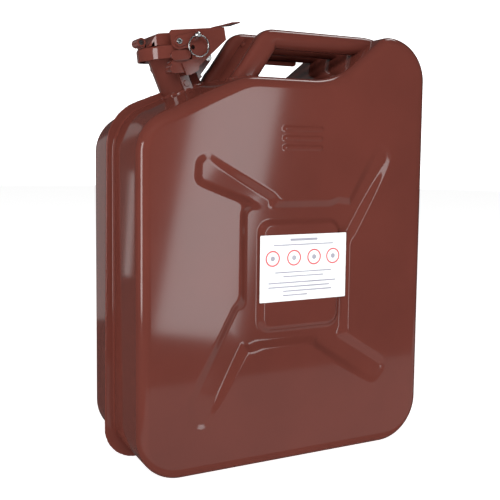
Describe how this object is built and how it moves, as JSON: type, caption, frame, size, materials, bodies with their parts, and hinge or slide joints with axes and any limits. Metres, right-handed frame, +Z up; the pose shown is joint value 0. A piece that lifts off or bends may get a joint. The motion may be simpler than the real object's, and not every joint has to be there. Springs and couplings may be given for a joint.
{
  "type": "fuel can",
  "caption": "Upright pressed-steel fuel can with welded seam, carrying bars, tilted filler neck and a hinged cap clamped by a pin-locked lever.",
  "frame": {"origin": "on the ground, under the middle of the can's width and thickness", "axes": "+Z up; +X along the width, away from the filler neck; -Y out of the face that carries the label"},
  "size_m": [0.3686, 0.165, 0.4795],
  "materials": {
    "paint": "glossy red-brown enamel",
    "zinc": "bright zinc plate",
    "gasket": "matte black",
    "label": "printed white film"
  },
  "bodies": {
    "can": {"front_shell": "paint", "rear_shell": "paint", "seam_weld": "paint", "front_handle": "paint", "middle_handle": "paint", "rear_handle": "paint", "handle_bridge": "paint", "bridge_rivets": "paint", "rear_bar_gusset": "paint", "handle_welds": "paint", "neck_tube": "paint", "neck_weld": "paint", "mouth_collar": "paint", "breather_tube": "zinc", "front_strap": "paint", "rear_strap": "paint", "strap_spot_welds": "paint", "hinge_bracket": "paint", "hinge_pin": "zinc", "label": "label"},
    "cap": {"cap_shell": "paint", "cap_gasket": "gasket", "gasket_retainer": "zinc", "cap_yoke": "paint", "cap_bosses": "paint", "cap_lip": "paint", "cap_hinge_leaf": "paint", "lever_studs": "zinc"},
    "lever": {"lever": "paint", "front_lever_link": "paint", "rear_lever_link": "paint", "thumb_tab": "paint"},
    "lock_pin": {"ring_pin": "zinc"},
    "ring": {"pull_ring": "zinc"}
  },
  "joints": [
    {"name": "cap_hinge", "type": "hinge", "parent": "can", "child": "cap", "pos_m": [-0.07231, 0, 0.43784], "axis": [0, 1, 0], "range_deg": [0, 80]},
    {"name": "lever_swing", "type": "hinge", "parent": "cap", "child": "lever", "pos_m": [-0.11453, 0, 0.44938], "axis": [0, -1, 0], "range_deg": [0, 92]},
    {"name": "pin_pull", "type": "slide", "parent": "lever", "child": "lock_pin", "axis": [0, -1, 0], "range_m": [0, 0.09]},
    {"name": "ring_swing", "type": "hinge", "parent": "lock_pin", "child": "ring", "pos_m": [-0.09554, -0.0418, 0.45635], "axis": [-0.9925, 0, -0.1219], "range_deg": [0, 90]}
  ],
  "couplings": [
    {"joint": "lever_swing", "follows": "cap_hinge", "ratio": 1.15}
  ]
}
